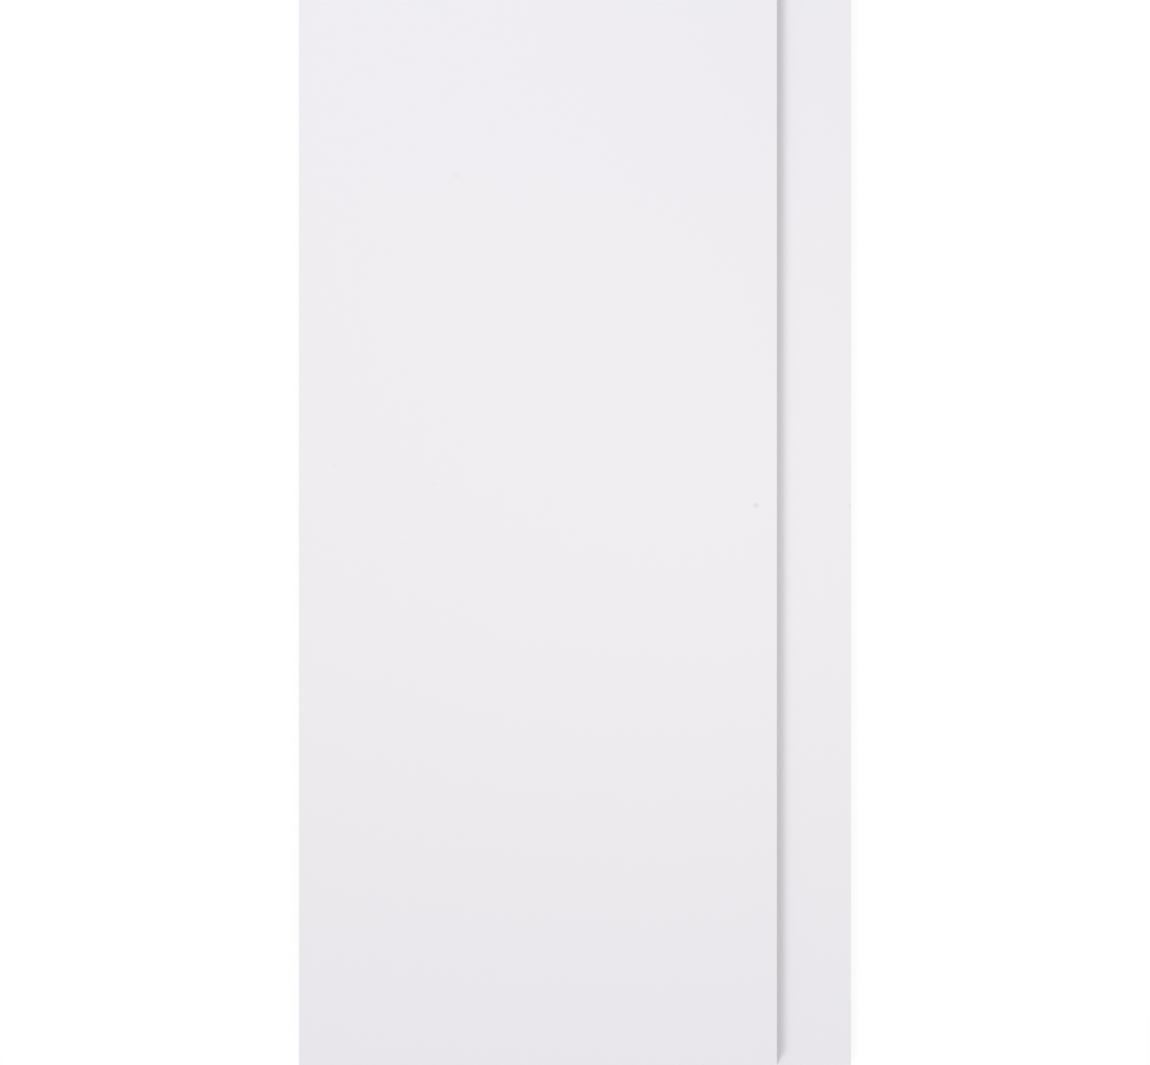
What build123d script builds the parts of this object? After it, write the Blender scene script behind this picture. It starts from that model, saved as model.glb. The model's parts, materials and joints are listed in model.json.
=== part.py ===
from build123d import *
import os

# Washable lap-edge wall panel: one extruded length of white rigid foam PVC.
# The panel lies face up. X runs across it, from the covering edge to the lip,
# Y runs along it and Z runs from the back to the face. The origin is the middle
# of the back plane, halfway across the whole width and halfway along the length.

# Driving dimensions, in millimetres
panel_length = 2600.0
cover_width = 200.0  # face that shows on the wall
thickness = 10.0  # back to face
lip_width = 31.0  # lip beyond the face, which the next panel covers
lip_thickness = 4.5
side_clearance = 0.5  # rebate is this much wider than the lip it covers
seat_clearance = 0.3  # rebate is this much higher than the lip it covers
root_radius = 0.2  # the two inner corners of the lap
nose_clearance = 0.4  # chamfer under the covering edge is this much larger than the root it meets
arris_radius = 0.2  # eased outer edges of the face, the lip and the back

# Sizes that follow
overall_width = cover_width + lip_width
rebate_width = lip_width + side_clearance
rebate_height = lip_thickness + seat_clearance
nose_chamfer = root_radius + nose_clearance

# Places across the section
left = -overall_width / 2
right = overall_width / 2
step = left + cover_width  # where the face drops to the lip
rebate_wall = left + rebate_width

# Corners of the section, as (across, above the back plane)
face_left = (left, thickness)
face_right = (step, thickness)
step_root = (step, lip_thickness)
lip_nose = (right, lip_thickness)
lip_back = (right, 0)
rebate_back = (rebate_wall, 0)
rebate_root = (rebate_wall, rebate_height)
cover_nose = (left, rebate_height)

outer_arrises = (face_left, face_right, lip_nose, lip_back, rebate_back)
lap_roots = (step_root, rebate_root)


def corners(section, points):
    """The section's vertices that lie nearest to the given points."""
    return [section.vertices().sort_by_distance(point)[0] for point in points]


def lap_section():
    """Half-lap outline: a covering edge over a rebate on the left, a lip on the right."""
    with BuildSketch(Plane.XZ) as sketch:
        with BuildLine():
            Polyline(
                face_left,
                face_right,
                step_root,
                lip_nose,
                lip_back,
                rebate_back,
                rebate_root,
                cover_nose,
                close=True,
            )
        make_face()
        chamfer(corners(sketch, [cover_nose]), length=nose_chamfer)
        fillet(corners(sketch, lap_roots), radius=root_radius)
        fillet(corners(sketch, outer_arrises), radius=arris_radius)
    return sketch.sketch


wall_panel = extrude(lap_section(), amount=panel_length / 2, both=True)
wall_panel.label = "wall_panel"

os.makedirs("parts", exist_ok=True)
export_step(wall_panel, "parts/wall_panel.step")
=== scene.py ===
import bpy
import json
import math
from collections import namedtuple
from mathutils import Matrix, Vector


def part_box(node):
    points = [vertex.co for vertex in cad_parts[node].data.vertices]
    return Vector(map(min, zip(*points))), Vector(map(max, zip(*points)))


# A washable wall panel of white rigid foam PVC. It lies face up on a white floor,
# and the camera looks straight down on its lower end, as the photograph does.

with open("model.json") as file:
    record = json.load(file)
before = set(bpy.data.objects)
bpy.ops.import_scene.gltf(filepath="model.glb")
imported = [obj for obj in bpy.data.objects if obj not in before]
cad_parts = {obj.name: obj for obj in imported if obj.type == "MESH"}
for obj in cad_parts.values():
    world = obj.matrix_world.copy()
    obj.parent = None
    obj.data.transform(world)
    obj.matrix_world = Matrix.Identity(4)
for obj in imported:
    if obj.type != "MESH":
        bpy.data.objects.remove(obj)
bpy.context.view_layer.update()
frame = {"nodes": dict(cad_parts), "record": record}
panel = frame["nodes"]["wall_panel"]
panel_low, panel_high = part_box("wall_panel")
panel_length = panel_high.y - panel_low.y
face_height = panel_high.z
mount_places = {mount["name"]: Vector(mount["pos_m"]) for mount in frame["record"]["mounts"]}
lip_height = mount_places["lip_top"].z

# The photograph's frame, in its own pixels
photo_width = 1150
photo_height = 1065
left_edge_px = 298.8  # the panel's left edge
centre_px = photo_width / 2  # the panel's middle

# What a pixel measures on the face, in metres
pixel_size = -panel_low.x / (centre_px - left_edge_px)

# Camera
lens_mm = 200
sensor_mm = 36
end_below_frame = 0.0006  # the panel's lower end lies this far past the picture's bottom
camera_distance = photo_width * pixel_size * lens_mm / sensor_mm
camera_y = panel_low.y + end_below_frame + photo_height / 2 * pixel_size
clip_end = 100.0

# Light, as shares of what the brightest part of the face receives
sky_share = 0.622
sky_colour = (1.0, 1.0, 0.968, 1.0)  # a little warm, so that the shadow on the lip is a neutral grey
sun_share = 0.264
sun_colour = (1.0, 1.0, 1.076)  # a little cool, so that sky and sun together are white
sun_elevation = math.radians(37)
sun_turn = math.radians(60)  # the sun comes from the left, turned this far towards the picture's bottom
sun_spread = math.radians(22)

# Softboxes, at a height over the face. A glow is the share that a softbox would give if it filled the sky.
long_softbox_inset = 0.0835  # from each end of the panel to the softbox's end
small_softbox_inset = 0.236  # from the panel's lower end to the softbox's middle
Softbox = namedtuple("Softbox", "name x y height width length glow")
softboxes = (
    Softbox(
        name="long_softbox",
        x=-0.116,
        y=0.0,
        height=0.198,
        width=0.447,
        length=panel_length - 2 * long_softbox_inset,
        glow=0.136,
    ),
    Softbox(
        name="small_softbox",
        x=0.150,
        y=panel_low.y + small_softbox_inset,
        height=0.287,
        width=0.1,
        length=0.1,
        glow=1.604,
    ),
)

# Floor
floor_size = 60.0
floor_drop = 0.0003  # below the panel's back, so that the two planes don't share a place
floor_albedo = 0.8
floor_shadow_share = 0.16  # how much of the floor's white is lit, and so can be shaded
floor_glow_reach = 0.004  # the rest is a glow, which has ended this far in from the panel's outline

# Skin: a satin white with a trace of blue, which gives way in one stretch near the lower end to a painted
# tint of warmer light
skin_blue = (0.865, 0.849, 0.890, 1.0)
# painted light: the skin's colour in the stretch that stands for warmer light falling there
skin_painted_warm_light = (0.865, 0.848, 0.872, 1.0)
painted_warm_light_px = 550  # row of the photograph in the middle of that stretch
painted_warm_light_reach = 0.08  # how far the painted tint of warmer light reaches on both sides of that row
blue_from = 0.24  # how far from that row it is blue again
skin_roughness = 0.36
back_roughness = 0.55

# Fine relief of the skin: orange peel, and lines drawn along the panel by the die
peel_per_metre = (650.0, 650.0, 650.0)
peel_detail = 1.0
peel_depth = 4e-6
line_per_metre = (420.0, 1.5, 420.0)
line_detail = 2.0
line_depth = 2e-6

# Blotches of the skin: wide clouds and the same lines, which change its gloss and its colour a little
cloud_per_metre = (14.0, 9.0, 14.0)
cloud_detail = 3.0
blotch_roughness = 0.10  # the part of skin_roughness that goes up and down with the blotches
soil_share = 0.004  # how far an average blotch turns the skin to the colour of dust

# Sawn ends: open foam cells, whose hollows are darkened with painted shade, and marks that the blade left
cell_per_metre = 3600.0
cell_depth = 4e-5
saw_per_metre = (1400.0, 60.0, 40.0)
saw_detail = 2.0
saw_depth = 5e-5
sawn_colour = (0.86, 0.845, 0.862, 1.0)
# painted shade, in the hollows of the open cells
pore_painted_shade_colour = (0.72, 0.71, 0.72, 1.0)
sawn_roughness = 0.85

# Specks of dirt on the skin, by their place in the photograph, with the radius in metres
dust_colour = (0.30, 0.29, 0.30, 1.0)
pit_depth = 2e-5
Speck = namedtuple("Speck", "across down radius cover")  # cover is the share of dust in its middle
face_specks = (
    Speck(across=756.0, down=505.3, radius=0.0017, cover=0.22),
    Speck(across=456.6, down=175.4, radius=0.0020, cover=0.062),
    Speck(across=335.2, down=465.6, radius=0.0015, cover=0.058),
    Speck(across=434.1, down=484.0, radius=0.0015, cover=0.05),
    Speck(across=404.0, down=542.2, radius=0.0017, cover=0.032),
    Speck(across=370.9, down=564.0, radius=0.0015, cover=0.035),
    Speck(across=314.2, down=385.9, radius=0.0014, cover=0.035),
    Speck(across=350.0, down=366.0, radius=0.0013, cover=0.03),
    Speck(across=448.0, down=416.0, radius=0.0013, cover=0.03),
    Speck(across=726.5, down=116.0, radius=0.0014, cover=0.035),
)
lip_specks = (
    Speck(across=852.3, down=505.5, radius=0.0017, cover=0.24),  # its middle is just past the lip's edge
)

# A surface is an end or the back where its normal points that way by more than this
facing_share = 0.5

# What the panel's shader reads at each point
Surface = namedtuple("Surface", "along on_end on_back peel lines blotches saw cells specks")

# Sockets of a Mix node that mixes colours
mix_factor = 0
mix_first = 6
mix_second = 7
mix_result = 2


def add_node(tree, kind, inputs=None, **settings):
    """A new shader node with its settings, and with its inputs set to values or linked to sockets."""
    made = tree.nodes.new("ShaderNode" + kind)
    for name, value in settings.items():
        setattr(made, name, value)
    for name, value in (inputs or {}).items():
        if isinstance(value, bpy.types.NodeSocket):
            tree.links.new(value, made.inputs[name])
        else:
            made.inputs[name].default_value = value
    return made


def math_node(tree, operation, first, second=0.0):
    """The result socket of a Math node with one or two inputs."""
    return add_node(tree, "Math", {0: first, 1: second}, operation=operation).outputs[0]


def mix_colours(tree, share, first, second):
    """A colour that goes from the first to the second as share goes from 0 to 1."""
    inputs = {mix_factor: share, mix_first: first, mix_second: second}
    return add_node(tree, "Mix", inputs, data_type="RGBA").outputs[mix_result]


def grey(level):
    """A colour without a tint."""
    return (level, level, level, 1.0)


def grain(tree, place, per_metre, detail):
    """Noise around 0.5, with so many grains per metre along x, y and z, and so many finer octaves."""
    scaled = add_node(tree, "Mapping", {"Vector": place, "Scale": per_metre}).outputs[0]
    return add_node(tree, "TexNoise", {"Vector": scaled, "Scale": 1.0, "Detail": detail}).outputs["Fac"]


def empty_tree(owner):
    """The node tree of a material or a world, with no nodes in it."""
    owner.use_nodes = True
    owner.node_tree.nodes.clear()
    return owner.node_tree


def seen_directly(tree):
    """1 for camera, glossy and transmission rays, and 0 for the rays that light a surface."""
    path = add_node(tree, "LightPath").outputs
    mirrored = math_node(tree, "MAXIMUM", path["Is Glossy Ray"], path["Is Transmission Ray"])
    return math_node(tree, "MAXIMUM", path["Is Camera Ray"], mirrored)


def switch_shader(tree, lighting, seen):
    """One shader for the rays that light a surface, and another where the camera sees it."""
    inputs = {0: seen_directly(tree), 1: lighting.outputs[0], 2: seen.outputs[0]}
    return add_node(tree, "MixShader", inputs).outputs[0]


def make_world():
    """Even light from all round, which shows as plain white where it is seen."""
    world = bpy.data.worlds.new("studio")
    tree = empty_tree(world)
    light = add_node(tree, "Background", {"Color": sky_colour, "Strength": sky_share})
    backdrop = add_node(tree, "Background", {"Color": grey(1.0), "Strength": 1.0})
    add_node(tree, "OutputWorld", {"Surface": switch_shader(tree, light, backdrop)})
    bpy.context.scene.world = world


def make_sun():
    """A wide soft key light from the lower left, which draws the shadow on the lip."""
    sun = bpy.data.lights.new("key", "SUN")
    sun.energy = sun_share * math.pi / math.sin(sun_elevation)
    sun.color = sun_colour
    sun.angle = sun_spread
    level = math.cos(sun_elevation)
    left = math.cos(sun_turn) * level
    down = math.sin(sun_turn) * level
    towards_sun = Vector((-left, -down, math.sin(sun_elevation)))
    key = bpy.data.objects.new("key", sun)
    key.rotation_mode = "QUATERNION"
    key.rotation_quaternion = (-towards_sun).to_track_quat("-Z", "Y")
    key.visible_glossy = False
    bpy.context.scene.collection.objects.link(key)


def make_softboxes():
    """Level lamps over the face, which the camera doesn't see."""
    for softbox in softboxes:
        lamp = bpy.data.lights.new(softbox.name, "AREA")
        lamp.shape = "RECTANGLE"
        lamp.size = softbox.width
        lamp.size_y = softbox.length
        lamp.energy = softbox.glow * math.pi * softbox.width * softbox.length
        hung = bpy.data.objects.new(softbox.name, lamp)
        hung.location = (softbox.x, softbox.y, face_height + softbox.height)
        hung.visible_camera = False
        hung.visible_glossy = False
        bpy.context.scene.collection.objects.link(hung)


def under_panel(tree):
    """1 on the floor under the panel, which is centred on the origin, and 0 outside its outline."""
    place = add_node(tree, "TexCoord").outputs["Object"]
    sides = add_node(tree, "SeparateXYZ", {0: place}).outputs
    in_from_side = math_node(tree, "SUBTRACT", panel_high.x, math_node(tree, "ABSOLUTE", sides["X"]))
    in_from_end = math_node(tree, "SUBTRACT", panel_high.y, math_node(tree, "ABSOLUTE", sides["Y"]))
    inset = math_node(tree, "MINIMUM", in_from_side, in_from_end)
    return add_node(tree, "MapRange", {"Value": inset, "From Max": floor_glow_reach}).outputs[0]


def floor_material():
    """White that mostly glows, so that only a soft shadow shows on it, and plain white under the panel."""
    material = bpy.data.materials.new("white_floor")
    tree = empty_tree(material)
    plain = add_node(tree, "BsdfDiffuse", {"Color": grey(floor_albedo)})
    shaded = add_node(tree, "BsdfDiffuse", {"Color": grey(floor_shadow_share)})
    glow_strength = 1.0 - floor_shadow_share * (sky_share + sun_share)
    glow = add_node(tree, "Emission", {"Color": grey(1.0), "Strength": glow_strength})
    open_floor = add_node(tree, "AddShader", {0: shaded.outputs[0], 1: glow.outputs[0]})
    seen = add_node(tree, "MixShader", {0: under_panel(tree), 1: open_floor.outputs[0], 2: plain.outputs[0]})
    add_node(tree, "OutputMaterial", {"Surface": switch_shader(tree, plain, seen)})
    return material


def make_floor():
    """A wide white floor just under the panel."""
    half = floor_size / 2
    corners = [(-half, -half, 0), (half, -half, 0), (half, half, 0), (-half, half, 0)]
    mesh = bpy.data.meshes.new("floor")
    mesh.from_pydata(corners, [], [(0, 1, 2, 3)])
    mesh.materials.append(floor_material())
    floor = bpy.data.objects.new("floor", mesh)
    floor.location.z = panel_low.z - floor_drop
    bpy.context.scene.collection.objects.link(floor)


def make_camera():
    """A long lens straight above the panel, with the picture's top towards +Y."""
    camera = bpy.data.cameras.new("camera")
    camera.lens = lens_mm
    camera.sensor_width = sensor_mm
    camera.clip_end = clip_end
    view = bpy.data.objects.new("camera", camera)
    view.location = (0.0, camera_y, face_height + camera_distance)
    bpy.context.scene.collection.objects.link(view)
    bpy.context.scene.camera = view


def along_at(down):
    """How far along the panel a row of the photograph lies, in metres."""
    return camera_y + (photo_height / 2 - down) * pixel_size


def speck_cover(tree, place):
    """How much of the skin the specks cover, from 0 to 1."""
    total = 0.0
    for height, specks in ((face_height, face_specks), (lip_height, lip_specks)):
        for speck in specks:
            across = (speck.across - centre_px) * pixel_size
            centre = (across, along_at(speck.down), height)
            gap = add_node(tree, "VectorMath", {0: place, 1: centre}, operation="DISTANCE").outputs["Value"]
            fade = {"Value": gap, "From Max": speck.radius, "To Min": speck.cover, "To Max": 0.0}
            cover = add_node(tree, "MapRange", fade, interpolation_type="SMOOTHSTEP").outputs[0]
            total = math_node(tree, "MAXIMUM", cover, total)
    return total


def blue_share(tree, along):
    """0 in the stretch with the painted tint of warmer light, 1 away from it."""
    gap = math_node(tree, "ABSOLUTE", math_node(tree, "SUBTRACT", along, along_at(painted_warm_light_px)))
    fade = {"Value": gap, "From Min": painted_warm_light_reach, "From Max": blue_from}
    return add_node(tree, "MapRange", fade, interpolation_type="SMOOTHSTEP").outputs[0]


def panel_surface(tree):
    """Where a point of the panel lies, which way it faces, and the patterns there."""
    coordinates = add_node(tree, "TexCoord").outputs
    place = coordinates["Object"]
    facing = add_node(tree, "SeparateXYZ", {0: coordinates["Normal"]}).outputs
    lines = grain(tree, place, line_per_metre, line_detail)
    clouds = grain(tree, place, cloud_per_metre, cloud_detail)
    return Surface(
        along=add_node(tree, "SeparateXYZ", {0: place}).outputs["Y"],
        on_end=math_node(tree, "GREATER_THAN", math_node(tree, "ABSOLUTE", facing["Y"]), facing_share),
        on_back=math_node(tree, "LESS_THAN", facing["Z"], -facing_share),
        peel=grain(tree, place, peel_per_metre, peel_detail),
        lines=lines,
        blotches=math_node(tree, "ADD", clouds, lines),
        saw=grain(tree, place, saw_per_metre, saw_detail),
        cells=add_node(tree, "TexVoronoi", {"Vector": place, "Scale": cell_per_metre}).outputs["Distance"],
        specks=speck_cover(tree, place),
    )


def panel_colour(tree, surface):
    """White skin with a trace of soil, the specks and one stretch with a painted tint of warmer light, and
    open foam on the sawn ends with painted shade in the hollows of the cells.
    """
    # one stretch of the skin gets a painted tint of warmer light
    skin = mix_colours(tree, blue_share(tree, surface.along), skin_painted_warm_light, skin_blue)
    soil = math_node(tree, "MULTIPLY", surface.blotches, soil_share)
    dusty = mix_colours(tree, math_node(tree, "ADD", surface.specks, soil), skin, dust_colour)
    # the hollows of the cells get painted shade
    sawn = mix_colours(tree, surface.cells, pore_painted_shade_colour, sawn_colour)
    return mix_colours(tree, surface.on_end, dusty, sawn)


def panel_roughness(tree, surface):
    """Satin in blotches on the skin, duller on the back and dull on the sawn ends."""
    patchy = math_node(tree, "MULTIPLY", surface.blotches, blotch_roughness)
    skin = math_node(tree, "ADD", patchy, skin_roughness - blotch_roughness)
    back = math_node(tree, "MULTIPLY", surface.on_back, back_roughness)
    end = math_node(tree, "MULTIPLY", surface.on_end, sawn_roughness)
    return math_node(tree, "MAXIMUM", skin, math_node(tree, "MAXIMUM", back, end))


def panel_relief(tree, surface):
    """Height of the fine relief in metres: the skin's, and that of the foam and the saw on the ends."""
    peel = math_node(tree, "MULTIPLY", surface.peel, peel_depth)
    lines = math_node(tree, "MULTIPLY", surface.lines, line_depth)
    pits = math_node(tree, "MULTIPLY", surface.specks, -pit_depth)
    skin = math_node(tree, "ADD", math_node(tree, "ADD", peel, lines), pits)
    cells = math_node(tree, "MULTIPLY", surface.cells, cell_depth)
    saw = math_node(tree, "MULTIPLY", surface.saw, saw_depth)
    end = math_node(tree, "MULTIPLY", math_node(tree, "ADD", cells, saw), surface.on_end)
    return math_node(tree, "ADD", skin, end)


def panel_material():
    """Foam PVC with a satin white skin, sawn at both ends."""
    material = bpy.data.materials.new("white_foam_pvc")
    tree = empty_tree(material)
    surface = panel_surface(tree)
    colour = panel_colour(tree, surface)
    rough = panel_roughness(tree, surface)
    relief = panel_relief(tree, surface)
    bump = add_node(tree, "Bump", {"Height": relief, "Distance": 1.0, "Strength": 1.0}).outputs[0]
    shader = add_node(tree, "BsdfPrincipled", {"Base Color": colour, "Roughness": rough, "Normal": bump})
    add_node(tree, "OutputMaterial", {"Surface": shader.outputs[0]})
    return material


bpy.context.scene.view_settings.view_transform = "Standard"
make_world()
make_sun()
make_softboxes()
make_floor()
make_camera()

panel.data.materials.clear()
panel.data.materials.append(panel_material())
